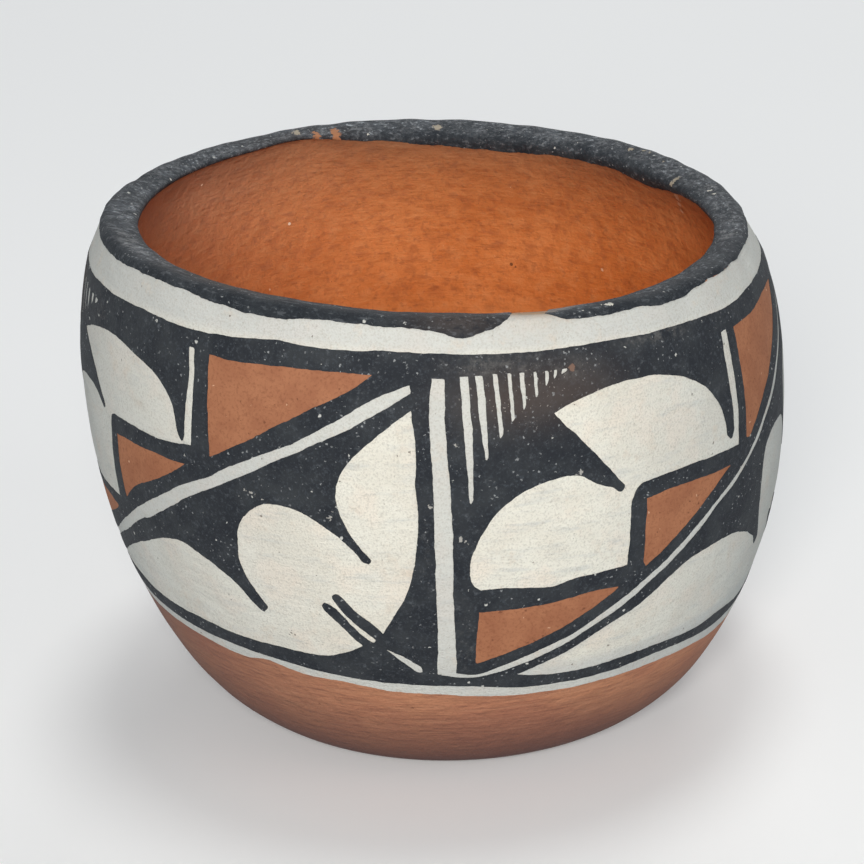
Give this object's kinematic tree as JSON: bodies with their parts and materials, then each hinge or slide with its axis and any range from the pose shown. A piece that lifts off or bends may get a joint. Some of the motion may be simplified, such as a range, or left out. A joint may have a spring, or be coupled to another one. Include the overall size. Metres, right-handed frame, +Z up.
{
  "type": "pottery bowl",
  "caption": "Small hand-built earthenware bowl with a rounded belly, a drawn-in rim, a flat foot and a painted geometric band on white slip.",
  "frame": {"origin": "centre of the flat foot, on the surface the bowl stands on", "axes": "+Z up out of the mouth, -Y towards the painted front, +X to the right as seen from the front"},
  "size_m": [0.1103, 0.1102, 0.0801],
  "materials": {
    "fired_clay": "unglazed, stone-rubbed terracotta",
    "white_slip": "matte white slip with fine dark specks",
    "black_paint": "matte black mineral paint with pale specks and wear",
    "ochre_paint": "matte ochre clay paint"
  },
  "bodies": {
    "root": {"clay_body": "fired_clay", "white_slip_band": "white_slip", "rim_black_paint": "black_paint", "band_black_paint": "black_paint", "ochre_patch_upper_1": "ochre_paint", "ochre_patch_upper_2": "ochre_paint", "ochre_patch_upper_3": "ochre_paint", "ochre_patch_upper_4": "ochre_paint", "ochre_patch_middle_1": "ochre_paint", "ochre_patch_middle_2": "ochre_paint", "ochre_patch_middle_3": "ochre_paint", "ochre_patch_middle_4": "ochre_paint", "ochre_patch_lower_1": "ochre_paint", "ochre_patch_lower_2": "ochre_paint", "ochre_patch_lower_3": "ochre_paint", "ochre_patch_lower_4": "ochre_paint"}
  },
  "joints": []
}
